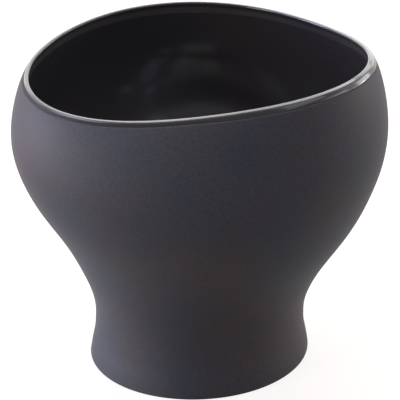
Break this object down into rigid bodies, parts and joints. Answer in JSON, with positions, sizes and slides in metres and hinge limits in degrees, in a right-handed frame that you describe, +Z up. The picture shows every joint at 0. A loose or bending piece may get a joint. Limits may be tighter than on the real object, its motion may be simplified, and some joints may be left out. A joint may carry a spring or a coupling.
{
  "type": "soup bowl",
  "caption": "Footed ceramic soup bowl with a narrow waist, a wide round belly, a wavy egg-shaped rim and a glazed inside.",
  "frame": {"origin": "middle of the bowl's overall width and depth, on the plane that the foot stands on", "axes": "+Z up through the mouth; the sections lean a little towards +X, and the rim's pointed end lies between +X and -Y"},
  "size_m": [0.1266, 0.1242, 0.1136],
  "materials": {
    "stoneware": "matt, unglazed",
    "glaze": "glossy"
  },
  "bodies": {
    "root": {"bowl_body": "stoneware", "glaze_lining": "glaze"}
  },
  "joints": []
}
